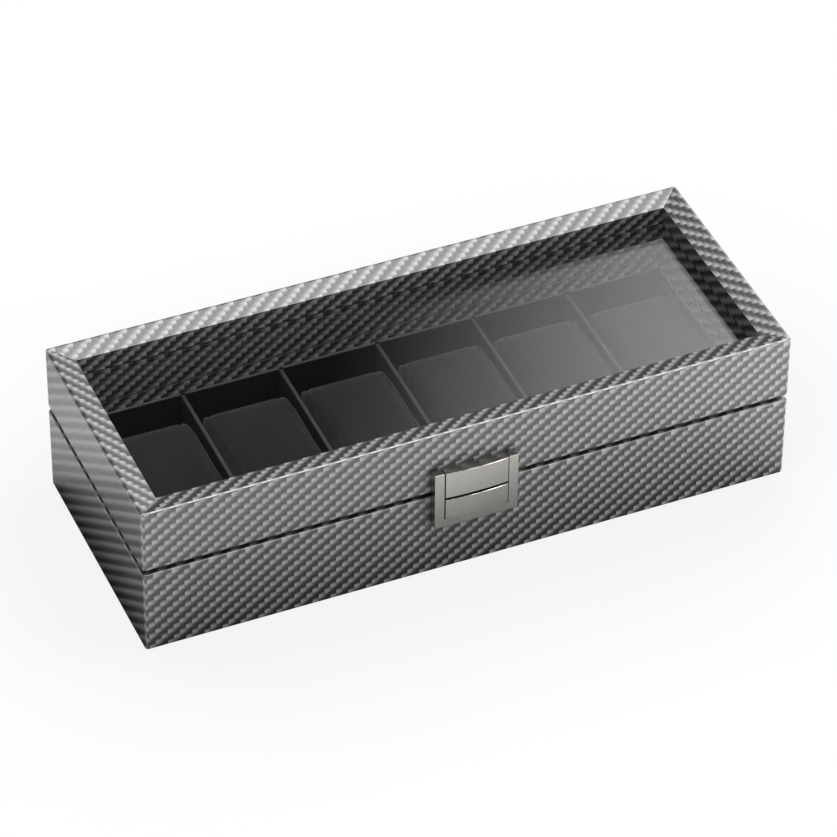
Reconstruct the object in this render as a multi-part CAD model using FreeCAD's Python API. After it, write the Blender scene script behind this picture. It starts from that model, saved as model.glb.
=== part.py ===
import FreeCAD, Part
import math
import os

os.makedirs("parts", exist_ok=True)

# Display box with a row of cushioned cells: a wrapped board base and a glazed lid on two hinges.
# Millimetres. X runs along the length, -Y is the latch side, +Z is up.
# The origin is the centre of the bottom face that the box rests on.

# Overall sizes
box_length = 300.0
box_depth = 118.0
base_height = 42.0
lid_height = 31.4
seam_gap = 2.4

# Walls, shared by base and lid
wall = 10.5
skin = 0.8
corner_radius = 1.5
rim_radius = 1.0

# Lid window: a frame that slopes down to the glass like a picture frame
bevel_drop = 2.0
bevel_lip = 1.4
glass_depth = 8.7
glass_thickness = 3.0
glass_clearance = 0.3
lid_lining = 3.0
collar_clearance = 0.4

# Base floor
felt_thickness = 1.2
felt_clearance = 0.3
hem_width = 3.0
hem_lift = 0.4
panel_thickness = 5.0
tray_floor_thickness = 1.5

# Locating collar: it stands inside the base walls and reaches up into the lid
collar_thickness = 1.0
collar_rise = 1.4

# Tray: linings, dividers and cells
cell_count = 6
tray_lining = 1.5
lining_drop = 2.0
divider_thickness = 2.0
divider_drop = 3.0
slot_depth = 0.9
slot_clearance = 0.1
card_edge_radius = 0.7

# Cushions
cushion_side_gap = 1.2
cushion_length = 76.0
cushion_height = 36.0
cushion_floor_gap = 0.3
cushion_corner = 12.0
cushion_crown_radius = 130.0
cushion_end_round = 5.0

# Hinges
hinge_length = 26.0
hinge_from_end = 60.0
hinge_setback = 1.2
leaf_thickness = 1.1
leaf_reach = 7.2
barrel_radius = 1.6
barrel_clearance = 0.3
knuckle_length = 9.0
knuckle_gap = 0.2
pin_radius = 0.6
pin_clearance = 0.05
hinge_screw_spread = 17.0
hinge_screw_set_in = 4.6
hinge_screw_length = 7.0
hinge_screw_radius = 0.6
hinge_screw_head = 1.2

# Latch: U-shaped housing, push button and strike
latch_width = 39.0
latch_height = 30.0
latch_below_rim = 14.7
latch_proud = 4.5
latch_border = 4.5
latch_slit = 0.4
latch_edge_radius = 0.3
latch_corner_radius = 1.2
arm_clearance = 0.4
plate_proud = 0.35
plate_crown = 0.6
plate_edge_radius = 0.2
split_slit = 1.2
button_plate = 1.3
button_travel = 1.4
catch_half_width = 8.0
catch_thickness = 1.4
catch_web_height = 1.2
catch_web_rise = 1.4
catch_nose = 2.1
catch_nose_height = 1.2
catch_clearance = 0.4
catch_hold = 0.8
hook_half_width = 6.0
hook_thickness = 1.2
hook_set_in = 0.9
hook_lip = 1.4
hook_lip_height = 1.0
hook_slope = 0.5
hook_reach = 4.6
bracket_thickness = 0.7
seat_clearance = 0.1
tab_inner = 10.2
tab_reach = 4.0
pocket_half_width = 9.5
pocket_floor_clearance = 0.6
pocket_skin = 1.3
spring_strip = 0.3
spring_height = 4.0
spring_half_length = 7.0
spring_rise = 1.0
spring_clearance = 0.05

# Screws: plain shanks with few sides, and those of the latch housing and the strike
screw_sides = 12
latch_screw_radius = 1.0
latch_screw_head = 2.0
latch_screw_head_depth = 1.2
latch_screw_spread = 28.0
latch_screw_bite = 2.5
strike_screw_spread = 18.0

# Derived heights
rim_z = base_height
lid_z = base_height + seam_gap
seam_z = base_height + seam_gap / 2
top_z = lid_z + lid_height
glass_top = top_z - bevel_drop - glass_depth
glass_bottom = glass_top - glass_thickness
panel_top = felt_thickness + panel_thickness
tray_z = panel_top + tray_floor_thickness
collar_top = lid_z + collar_rise
lining_top = rim_z - lining_drop
divider_top = rim_z - divider_drop

# Derived plan positions
front_y = -box_depth / 2
back_y = box_depth / 2
ledge = wall - lid_lining
tray_inset = wall + collar_thickness
tray_half_length = box_length / 2 - tray_inset
tray_half_depth = box_depth / 2 - tray_inset
cell_half_depth = tray_half_depth - tray_lining
cell_pitch = (2 * (tray_half_length - tray_lining) + divider_thickness) / cell_count
cell_width = cell_pitch - divider_thickness
hinge_y = back_y - hinge_setback

# Derived latch places
latch_z = rim_z - latch_below_rim
latch_top = latch_z + latch_height
latch_front = front_y - latch_proud
window_half = latch_width / 2 - latch_border
window_z = latch_z + latch_border
plate_half = window_half - latch_slit
plate_front = latch_front - plate_proud
button_top = seam_z - split_slit / 2
button_bottom = window_z + latch_slit
button_back = plate_front + button_plate
hook_front = front_y + hook_set_in
hook_back = hook_front + hook_thickness
hook_bottom = rim_z - hook_reach
lip_tip = hook_back + hook_lip
lip_top = hook_bottom + hook_lip_height
nose_z = lip_top + catch_clearance
nose_top = nose_z + catch_nose_height
nose_tip = lip_tip - catch_hold
catch_front = nose_tip + catch_nose
catch_back = catch_front + catch_thickness
web_z = button_bottom + catch_web_rise
pocket_z = web_z - pocket_floor_clearance
board_back = front_y + wall - skin
pocket_back = board_back - pocket_skin


def vec(x, y, z):
    return FreeCAD.Vector(x, y, z)


def block(x0, x1, y0, y1, z0, z1):
    """Box between two opposite corners."""
    return Part.makeBox(x1 - x0, y1 - y0, z1 - z0, vec(x0, y0, z0))


def centred_block(length, depth, z0, z1):
    """Box centred on the Z axis."""
    return block(-length / 2, length / 2, -depth / 2, depth / 2, z0, z1)


def inset_block(inset, z0, z1):
    """Box that stands a given distance inside the outer walls."""
    return centred_block(box_length - 2 * inset, box_depth - 2 * inset, z0, z1)


def edges_at(shape, z):
    """Edges that lie wholly at one height."""
    return [e for e in shape.Edges if max(abs(v.Z - z) for v in e.Vertexes) < 1e-6]


def upright_edges(shape):
    """Edges that run parallel to Z."""
    return [e for e in shape.Edges if abs(e.tangentAt(e.FirstParameter).z) > 0.999]


def edges_along_y(shape):
    """Edges that run parallel to Y."""
    return [e for e in shape.Edges if abs(e.tangentAt(e.FirstParameter).y) > 0.999]


def rounded_block(z0, z1, soft_heights):
    """Outer block of the box, with its upright edges and its edges at the given heights rounded."""
    body = inset_block(0, z0, z1)
    body = body.makeFillet(corner_radius, upright_edges(body))
    for z in soft_heights:
        body = body.makeFillet(rim_radius, edges_at(body, z))
    return body


def prism_x(points, half_width):
    """Profile given as (y, z) points, extruded along X on both sides of the centre."""
    wire = Part.makePolygon([vec(-half_width, y, z) for y, z in points + points[:1]])
    return Part.Face(wire).extrude(vec(2 * half_width, 0, 0))


def mitre_wedges(z0, z1):
    """Four plan wedges that split a rectangular ring along its corner mitres."""
    spread = 5.0
    far_x = box_length / 2 + spread
    far_y = box_depth / 2 + spread
    ridge = (box_length - box_depth) / 2
    outlines = {
        "front": [(-far_x, -far_y), (far_x, -far_y), (ridge, 0), (-ridge, 0)],
        "back": [(far_x, far_y), (-far_x, far_y), (-ridge, 0), (ridge, 0)],
        "left": [(-far_x, far_y), (-far_x, -far_y), (-ridge, 0)],
        "right": [(far_x, -far_y), (far_x, far_y), (ridge, 0)],
    }
    wedges = {}
    for side, corners in outlines.items():
        wire = Part.makePolygon([vec(x, y, z0) for x, y in corners + corners[:1]])
        wedges[side] = Part.Face(wire).extrude(vec(0, 0, z1 - z0))
    return wedges


def mitred_sides(ring, name):
    """Splits a ring into four mitred pieces, named for the side they are on."""
    spread = 5.0
    wedges = mitre_wedges(-spread, top_z + spread)
    return {f"{name}_{side}": ring.common(wedge) for side, wedge in wedges.items()}


def bevel_cutter(lowered):
    """Frustum above the sloping top of the lid's frame, lowered for the core."""
    rise = 1.0
    low = top_z - lowered - bevel_drop
    high = top_z - lowered + rise
    slope = (wall - bevel_lip) / bevel_drop
    wires = []
    for inset, z in ((wall, low), (bevel_lip - slope * rise, high)):
        x = box_length / 2 - inset
        y = box_depth / 2 - inset
        corners = [vec(-x, -y, z), vec(x, -y, z), vec(x, y, z), vec(-x, y, z)]
        wires.append(Part.makePolygon(corners + corners[:1]))
    return Part.makeLoft(wires, True, True)


def lid_ring(body, depth):
    """Cuts the bevel, the window and the glass rebate out of the lid's block, at a depth under its skin."""
    ring = body.cut(bevel_cutter(depth))
    ring = ring.cut(inset_block(wall - depth, lid_z - seam_gap, top_z + seam_gap))
    return ring.cut(inset_block(ledge - depth, lid_z - seam_gap, glass_top + depth))


def make_lid_frame():
    """Mitred lid rails and the mitred leatherette strips that wrap them."""
    outer = lid_ring(rounded_block(lid_z, top_z, (lid_z, top_z)), 0)
    core = lid_ring(inset_block(skin, lid_z + skin, top_z - skin), skin)
    pieces = mitred_sides(core, "lid_rail")
    pieces.update(mitred_sides(outer.cut(core), "lid_wrap"))
    return pieces


def make_lid_glazing():
    """Glass pane under the frame's ledge and the linings that hold it up."""
    glass = inset_block(ledge + glass_clearance, glass_bottom, glass_top)
    ring = inset_block(ledge, lid_z, glass_bottom)
    ring = ring.cut(inset_block(wall - collar_clearance, lid_z, glass_bottom))
    pieces = mitred_sides(ring, "lid_lining")
    pieces["lid_glass"] = glass
    return pieces


def make_base_walls():
    """Mitred base boards, their wrap with its turned-in hem, the bottom panel and the felt under it."""
    cavity = inset_block(wall, hem_lift, rim_z)
    outer = rounded_block(hem_lift, rim_z, (rim_z,)).cut(cavity)
    core = inset_block(skin, felt_thickness, rim_z - skin)
    core = core.cut(inset_block(wall - skin, felt_thickness, rim_z))
    wrap = outer.cut(core)
    wrap = wrap.cut(inset_block(hem_width, 0, felt_thickness))
    wrap = wrap.cut(inset_block(wall - skin, felt_thickness, panel_top))
    pieces = mitred_sides(core, "base_board")
    pieces.update(mitred_sides(wrap, "base_wrap"))
    pieces["bottom_panel"] = inset_block(wall - skin, felt_thickness, panel_top)
    pieces["bottom_felt"] = inset_block(hem_width + felt_clearance, 0, felt_thickness)
    return pieces


def divider_places():
    """Centres of the dividers along X."""
    return [cell_pitch * (i + 1 - cell_count / 2) for i in range(cell_count - 1)]


def soft_top(card):
    """Rounds the long top edges of a covered card."""
    top = card.BoundBox.ZMax
    span = max(card.BoundBox.XLength, card.BoundBox.YLength)
    long_edges = [e for e in edges_at(card, top) if e.Length > span / 2]
    return card.makeFillet(card_edge_radius, long_edges)


def make_collar():
    """Thin mitred collar on the tray floor, which keeps the closed lid in place and shuts the seam."""
    ring = inset_block(wall, tray_z, collar_top).cut(inset_block(tray_inset, tray_z, collar_top))
    return mitred_sides(ring, "collar")


def make_tray():
    """Tray floor, four linings and the dividers that stand in slots of the long linings."""
    pieces = {"tray_floor": inset_block(wall, panel_top, tray_z)}
    x = tray_half_length
    y = tray_half_depth
    lining = {
        "front": block(-x, x, -y, -cell_half_depth, tray_z, lining_top),
        "back": block(-x, x, cell_half_depth, y, tray_z, lining_top),
        "left": block(-x, -x + tray_lining, -cell_half_depth, cell_half_depth, tray_z, lining_top),
        "right": block(x - tray_lining, x, -cell_half_depth, cell_half_depth, tray_z, lining_top),
    }
    slot_half = divider_thickness / 2 + slot_clearance
    slot_end = cell_half_depth + slot_depth
    for side, card in lining.items():
        card = soft_top(card)
        for place in divider_places():
            slot = block(place - slot_half, place + slot_half, -slot_end, slot_end, tray_z, rim_z)
            card = card.cut(slot)
        pieces[f"tray_lining_{side}"] = card
    half = divider_thickness / 2
    reach = slot_end - slot_clearance
    for number, place in enumerate(divider_places(), start=1):
        card = block(place - half, place + half, -reach, reach, tray_z, divider_top)
        pieces[f"divider_{number}"] = soft_top(card)
    return pieces


def cushion_outline(x):
    """Face of the cushion seen along X, with a crowned top and rounded corners."""
    low = tray_z + cushion_floor_gap
    half = cushion_length / 2
    corner_y = half - cushion_corner
    low_z = low + cushion_corner
    crown_z = low + cushion_height - cushion_crown_radius
    reach = cushion_crown_radius - cushion_corner
    high_z = crown_z + math.sqrt(reach ** 2 - corner_y ** 2)
    lean = math.atan2(high_z - crown_z, corner_y)

    def arc(y, z, radius, start, end):
        """Arc in the plane of the outline, from one angle to another."""
        turns = (start, (start + end) / 2, end)
        points = [vec(x, y + radius * math.cos(t), z + radius * math.sin(t)) for t in turns]
        return Part.Arc(*points).toShape()

    def line(y0, z0, y1, z1):
        """Straight side of the outline."""
        return Part.LineSegment(vec(x, y0, z0), vec(x, y1, z1)).toShape()

    outline = [
        line(-corner_y, low, corner_y, low),
        arc(corner_y, low_z, cushion_corner, -math.pi / 2, 0),
        line(half, low_z, half, high_z),
        arc(corner_y, high_z, cushion_corner, 0, lean),
        arc(0, crown_z, cushion_crown_radius, lean, math.pi - lean),
        arc(-corner_y, high_z, cushion_corner, math.pi - lean, math.pi),
        line(-half, high_z, -half, low_z),
        arc(-corner_y, low_z, cushion_corner, math.pi, 1.5 * math.pi),
    ]
    return Part.Face(Part.Wire(outline))


def make_cushions():
    """Crowned cushions with ends rounded in plan and in height, one in the middle of each cell."""
    width = cell_width - 2 * cushion_side_gap
    low = tray_z + cushion_floor_gap
    body = cushion_outline(-width / 2).extrude(vec(width, 0, 0))
    envelope = centred_block(width, cushion_length, low, low + cushion_height)
    for edges in (upright_edges(envelope), edges_along_y(envelope)):
        body = body.common(envelope.makeFillet(cushion_end_round, edges))
    pieces = {}
    for i in range(cell_count):
        cushion = body.copy()
        cushion.translate(vec(cell_pitch * (i + 0.5 - cell_count / 2), 0, 0))
        pieces[f"cushion_{i + 1}"] = cushion
    return pieces


def hinge_centres():
    """Middles of the two hinges along X."""
    place = box_length / 2 - hinge_from_end
    return {"left": -place, "right": place}


def barrel(x0, x1, radius):
    """Cylinder round the hinge axis between two X values."""
    return Part.makeCylinder(radius, x1 - x0, vec(x0, hinge_y, seam_z), vec(1, 0, 0))


def make_leaf(centre, z0, z1, own_knuckles, other_knuckles):
    """One hinge leaf: a plate on the rim, with its knuckles and room for the other leaf's."""
    half = hinge_length / 2
    leaf = block(centre - half, centre + half, hinge_y - leaf_reach, hinge_y, z0, z1)
    room = barrel_radius + barrel_clearance
    for x0, x1 in other_knuckles:
        leaf = leaf.cut(barrel(centre + x0 - knuckle_gap, centre + x1 + knuckle_gap, room))
    for x0, x1 in own_knuckles:
        leaf = leaf.fuse(barrel(centre + x0, centre + x1, barrel_radius))
    leaf = leaf.cut(barrel(centre - half, centre + half, pin_radius + pin_clearance))
    return leaf.removeSplitter()


def make_hinges():
    """Two butt hinges whose leaves lie in the seam, with their pins."""
    half = hinge_length / 2
    middle = [(-knuckle_length / 2, knuckle_length / 2)]
    edge = knuckle_length / 2 + knuckle_gap
    outer = [(-half, -edge), (edge, half)]
    pieces = {}
    for side, centre in hinge_centres().items():
        pieces[f"hinge_{side}_base_leaf"] = make_leaf(centre, rim_z, rim_z + leaf_thickness, outer, middle)
        pieces[f"hinge_{side}_lid_leaf"] = make_leaf(centre, lid_z - leaf_thickness, lid_z, middle, outer)
        pieces[f"hinge_{side}_pin"] = barrel(centre - half, centre + half, pin_radius)
    return pieces


def hinge_rooms():
    """Grooves in both rims that clear the hinge barrels."""
    half = hinge_length / 2 + barrel_clearance
    room = barrel_radius + barrel_clearance
    return [barrel(centre - half, centre + half, room) for centre in hinge_centres().values()]


def many_sided(start, axis, length, radius, end_radius):
    """Straight or tapered bar with few sides, along an axis square to X."""
    across = axis.cross(vec(1, 0, 0))
    wires = []
    for along, r in ((0, radius), (length, end_radius)):
        centre = start + axis * along
        points = []
        for i in range(screw_sides):
            turn = 2 * math.pi * i / screw_sides
            points.append(centre + vec(r * math.cos(turn), 0, 0) + across * (r * math.sin(turn)))
        wires.append(Part.makePolygon(points + points[:1]))
    return Part.makeLoft(wires, True, True)


def countersunk_screw(x, y, z, direction):
    """Countersunk wood screw with its head face at z, driven up or down."""
    axis = vec(0, 0, direction)
    face = vec(x, y, z)
    neck = face + axis * leaf_thickness
    head = many_sided(face, axis, leaf_thickness, hinge_screw_head, hinge_screw_radius)
    shank_length = hinge_screw_length - leaf_thickness
    shank = many_sided(neck, axis, shank_length, hinge_screw_radius, hinge_screw_radius)
    return head.fuse(shank).removeSplitter()


def make_hinge_screws():
    """Screws of both hinges: the ones in the base rim and the ones in the lid rim."""
    y = back_y - hinge_screw_set_in
    places = []
    for centre in hinge_centres().values():
        places.append(centre - hinge_screw_spread / 2)
        places.append(centre + hinge_screw_spread / 2)
    base = [countersunk_screw(x, y, rim_z + leaf_thickness, -1) for x in places]
    lid = [countersunk_screw(x, y, lid_z - leaf_thickness, 1) for x in places]
    return {"base_hinge_screws": Part.makeCompound(base), "lid_hinge_screws": Part.makeCompound(lid)}


def make_housing():
    """U-shaped latch housing on the base: its arms stand clear of the lid, its tabs lie on the rim."""
    half = latch_width / 2
    frame = block(-half, half, latch_front, front_y, latch_z, latch_top)
    sides = [e for e in frame.Edges if e.Length < latch_proud + 1e-6 and e.CenterOfMass.z < rim_z]
    frame = frame.makeFillet(latch_corner_radius, sides)
    face_edges = [e for e in frame.Edges if all(abs(v.Y - latch_front) < 1e-6 for v in e.Vertexes)]
    frame = frame.makeFillet(latch_edge_radius, face_edges)
    frame = frame.cut(block(-window_half, window_half, latch_front, front_y, window_z, latch_top))
    tab_front = front_y - arm_clearance
    tab_top = rim_z + leaf_thickness
    frame = frame.cut(block(-half, half, tab_front, front_y, tab_top, latch_top))
    for x0, x1 in ((-half, -tab_inner), (tab_inner, half)):
        frame = frame.fuse(block(x0, x1, tab_front, front_y + tab_reach, rim_z, tab_top))
    return frame.removeSplitter()


def crowned_plate(z0, z1, back):
    """Latch plate whose front bows out between its two sides."""
    left = vec(-plate_half, plate_front, z0)
    right = vec(plate_half, plate_front, z0)
    bow = Part.Arc(left, vec(0, plate_front - plate_crown, z0), right).toShape()
    rear = Part.makePolygon([right, vec(plate_half, back, z0), vec(-plate_half, back, z0), left])
    plate = Part.Face(Part.Wire([bow] + rear.Edges)).extrude(vec(0, 0, z1 - z0))
    front = [e for e in plate.Edges if max(v.Y for v in e.Vertexes) < plate_front + 1e-6]
    return plate.makeFillet(plate_edge_radius, front)


def make_button():
    """Push button with a web under the hook and an upright whose nose holds the hook's lip."""
    plate = crowned_plate(button_bottom, button_top, button_back)
    overlap = button_plate / 2
    catch = prism_x(
        [
            (button_back - overlap, web_z),
            (catch_back, web_z),
            (catch_back, nose_top),
            (catch_front, nose_top),
            (nose_tip, nose_z + hook_slope),
            (nose_tip, nose_z),
            (catch_front, nose_z),
            (catch_front, web_z + catch_web_height),
            (button_back - overlap, web_z + catch_web_height),
        ],
        catch_half_width,
    )
    return plate.fuse(catch).removeSplitter()


def make_strike():
    """Strike on the lid: crowned plate, bracket under the rim and hook that reaches into the base."""
    plate = crowned_plate(seam_z + split_slit / 2, latch_top, front_y)
    bracket_z = rim_z + leaf_thickness + seat_clearance
    bracket = prism_x(
        [
            (front_y - bracket_thickness, bracket_z),
            (hook_back, bracket_z),
            (hook_back, lid_z),
            (front_y, lid_z),
            (front_y, lid_z + split_slit),
            (front_y - bracket_thickness, lid_z + split_slit),
        ],
        plate_half,
    )
    hook = prism_x(
        [
            (hook_front, hook_bottom),
            (hook_back, hook_bottom),
            (lip_tip, lip_top - hook_slope),
            (lip_tip, lip_top),
            (hook_back, lip_top),
            (hook_back, lid_z),
            (hook_front, lid_z),
        ],
        hook_half_width,
    )
    return plate.fuse(bracket).fuse(hook).removeSplitter()


def make_spring():
    """Bowed leaf spring between the pocket's back and the button's upright."""
    apex = catch_back + spring_clearance
    foot = pocket_back - spring_clearance
    z = web_z + spring_rise
    half = spring_half_length
    near = foot - spring_strip
    outer = Part.Arc(vec(-half, near, z), vec(0, apex, z), vec(half, near, z)).toShape()
    inner = Part.Arc(vec(half, foot, z), vec(0, apex + spring_strip, z), vec(-half, foot, z)).toShape()
    right = Part.LineSegment(vec(half, near, z), vec(half, foot, z)).toShape()
    left = Part.LineSegment(vec(-half, foot, z), vec(-half, near, z)).toShape()
    return Part.Face(Part.Wire([outer, right, inner, left])).extrude(vec(0, 0, spring_height))


def pan_screws(spread, z, head_y, tip_y):
    """Pair of screws driven towards the front, with flat heads sunk in the board."""
    pair = []
    axis = vec(0, 1, 0)
    neck_y = head_y - latch_screw_head_depth
    for x in (-spread / 2, spread / 2):
        tip = vec(x, tip_y, z)
        neck = vec(x, neck_y, z)
        shank = many_sided(tip, axis, neck_y - tip_y, latch_screw_radius, latch_screw_radius)
        head = many_sided(neck, axis, latch_screw_head_depth, latch_screw_head, latch_screw_head)
        pair.append(shank.fuse(head).removeSplitter())
    return Part.makeCompound(pair)


def make_latch():
    """The latch's own pieces and the two pairs of screws that hold it."""
    screw_tip = front_y - latch_screw_bite
    housing_z = latch_z + latch_border / 2
    strike_z = (lid_z + latch_top) / 2
    return {
        "latch_housing": make_housing(),
        "latch_button": make_button(),
        "latch_strike": make_strike(),
        "latch_spring": make_spring(),
        "latch_screws": pan_screws(latch_screw_spread, housing_z, board_back, screw_tip),
        "strike_screws": pan_screws(strike_screw_spread, strike_z, front_y + ledge, screw_tip),
    }


def seat(pieces, cutter, names):
    """Cuts the room for a cutter out of the named pieces."""
    for name in names:
        pieces[name] = pieces[name].cut(cutter)


def fit_hardware(pieces):
    """Makes the pocket, grooves and screw holes that the hinges and the latch sit in."""
    pocket = block(-pocket_half_width, pocket_half_width, front_y, pocket_back, pocket_z, rim_z)
    seat(pieces, pocket, ("base_board_front", "base_wrap_front"))
    for groove in hinge_rooms():
        seat(pieces, groove, ("base_board_back", "base_wrap_back", "lid_rail_back", "lid_wrap_back"))
    base_leaves = ("hinge_left_base_leaf", "hinge_right_base_leaf")
    lid_leaves = ("hinge_left_lid_leaf", "hinge_right_lid_leaf")
    seat(pieces, pieces["base_hinge_screws"], base_leaves + ("base_board_back", "base_wrap_back"))
    seat(pieces, pieces["lid_hinge_screws"], lid_leaves + ("lid_rail_back", "lid_wrap_back"))
    seat(pieces, pieces["latch_screws"], ("base_board_front", "base_wrap_front", "latch_housing"))
    seat(pieces, pieces["strike_screws"], ("lid_rail_front", "lid_wrap_front", "latch_strike"))


def main():
    """Makes every piece, fits the hardware and writes one file per piece."""
    pieces = {}
    pieces.update(make_base_walls())
    pieces.update(make_collar())
    pieces.update(make_tray())
    pieces.update(make_cushions())
    pieces.update(make_lid_frame())
    pieces.update(make_lid_glazing())
    pieces.update(make_hinges())
    pieces.update(make_hinge_screws())
    pieces.update(make_latch())
    fit_hardware(pieces)
    for name, shape in sorted(pieces.items()):
        shape.exportStep(f"parts/{name}.step")
        print(f"{name}: {len(shape.Solids)} solids, {shape.Volume:.1f} mm3, valid {shape.isValid()}")
    print(f"{len(pieces)} nodes")


main()
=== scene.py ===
"""Looks of a glazed display box: leatherette, velvet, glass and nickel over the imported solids."""

import logging
import math
from dataclasses import dataclass, field
from enum import Enum
from typing import Any, Dict, List, Optional, Tuple, Union

import bmesh
import bpy
from mathutils import Matrix, Vector


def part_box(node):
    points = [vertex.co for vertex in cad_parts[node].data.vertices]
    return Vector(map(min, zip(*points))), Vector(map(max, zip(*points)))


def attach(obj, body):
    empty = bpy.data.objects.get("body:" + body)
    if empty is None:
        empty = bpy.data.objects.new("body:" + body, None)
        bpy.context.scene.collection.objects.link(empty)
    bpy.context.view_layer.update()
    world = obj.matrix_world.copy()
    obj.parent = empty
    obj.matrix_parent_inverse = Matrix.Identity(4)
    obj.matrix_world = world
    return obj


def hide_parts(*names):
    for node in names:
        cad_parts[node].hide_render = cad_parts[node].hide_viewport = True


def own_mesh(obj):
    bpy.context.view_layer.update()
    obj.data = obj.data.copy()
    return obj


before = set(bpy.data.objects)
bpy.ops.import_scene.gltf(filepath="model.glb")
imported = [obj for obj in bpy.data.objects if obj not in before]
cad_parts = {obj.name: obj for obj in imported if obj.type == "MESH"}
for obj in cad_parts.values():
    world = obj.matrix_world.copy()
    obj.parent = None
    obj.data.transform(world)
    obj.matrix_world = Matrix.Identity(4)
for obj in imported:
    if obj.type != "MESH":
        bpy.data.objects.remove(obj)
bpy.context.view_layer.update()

MM = 0.001
SAME_PLACE = 1e-6
UP = Vector((0.0, 0.0, 1.0))
log = logging.getLogger("display_box")

Triple = Tuple[float, float, float]
Colour = Triple

BLACK: Colour = (0.0, 0.0, 0.0)
WHITE: Colour = (1.0, 1.0, 1.0)


class Side(Enum):
    """A side of the box, with the axis that runs to the right along it and the axis that points inwards."""

    FRONT = ("front", ("X", 1), ("Y", 1))
    BACK = ("back", ("X", -1), ("Y", -1))
    LEFT = ("left", ("Y", -1), ("X", 1))
    RIGHT = ("right", ("Y", 1), ("X", -1))

    @property
    def label(self) -> str:
        """Name of the side in the nodes' names."""
        return self.value[0]

    @property
    def along(self) -> Tuple[str, int]:
        """Axis and sign of the direction to the right, seen from outside."""
        return self.value[1]

    @property
    def inward(self) -> Tuple[str, int]:
        """Axis and sign of the direction into the box."""
        return self.value[2]


class Grain(Enum):
    """Direction in which a metal was brushed."""

    ALONG_X = (1.0, 60.0, 60.0)
    EVEN = (1.0, 1.0, 1.0)


class Signal:
    """Output socket of a shader tree; arithmetic on it adds Math nodes."""

    def __init__(self, shader: "Shader", socket: bpy.types.NodeSocket) -> None:
        """Keeps the socket and the tree that it belongs to."""
        self.shader = shader
        self.socket = socket

    def math(self, operation: str, *values: Any) -> "Signal":
        """Adds one Math node.

        Args:
            operation: name of the Math node's operation.
            values: its inputs in order, as signals or numbers.

        Returns:
            The node's result.
        """
        settings = {"operation": operation}
        return self.shader.node("ShaderNodeMath", settings, dict(enumerate(values)))["Value"]

    def __add__(self, other: Any) -> "Signal":
        """Sum."""
        return self.math("ADD", self, other)

    def __radd__(self, other: Any) -> "Signal":
        """Sum with a number on the left."""
        return self.math("ADD", other, self)

    def __sub__(self, other: Any) -> "Signal":
        """Difference."""
        return self.math("SUBTRACT", self, other)

    def __rsub__(self, other: Any) -> "Signal":
        """Difference from a number."""
        return self.math("SUBTRACT", other, self)

    def __mul__(self, other: Any) -> "Signal":
        """Product."""
        return self.math("MULTIPLY", self, other)

    def __rmul__(self, other: Any) -> "Signal":
        """Product with a number on the left."""
        return self.math("MULTIPLY", other, self)

    def __truediv__(self, other: Any) -> "Signal":
        """Quotient."""
        return self.math("DIVIDE", self, other)

    def __pow__(self, other: Any) -> "Signal":
        """Power."""
        return self.math("POWER", self, other)

    def __mod__(self, other: Any) -> "Signal":
        """Remainder that is never negative."""
        return self.math("FLOORED_MODULO", self, other)

    def __gt__(self, other: Any) -> "Signal":
        """One where the signal is the greater."""
        return self.math("GREATER_THAN", self, other)

    def __abs__(self) -> "Signal":
        """Size without its sign."""
        return self.math("ABSOLUTE", self)

    def floor(self) -> "Signal":
        """Whole number below."""
        return self.math("FLOOR", self)

    def sign(self) -> "Signal":
        """Sign as one or minus one."""
        return self.math("SIGN", self)

    def at_least(self, other: Any) -> "Signal":
        """The greater of two values."""
        return self.math("MAXIMUM", self, other)

    def at_most(self, other: Any) -> "Signal":
        """The smaller of two values."""
        return self.math("MINIMUM", self, other)

    def arch(self) -> "Signal":
        """Hump that is one in the middle of the range from 0 to 1 and zero at its ends."""
        return 1 - (self * 2 - 1) ** 2


class Outputs:
    """A node's outputs, by name or identifier, as signals."""

    def __init__(self, shader: "Shader", node: bpy.types.Node) -> None:
        """Keeps the node."""
        self.shader = shader
        self.node = node

    def __getitem__(self, key: str) -> Signal:
        """Finds an output."""
        found = [s for s in self.node.outputs if key in (s.identifier, s.name)]
        return Signal(self.shader, found[0])


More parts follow.
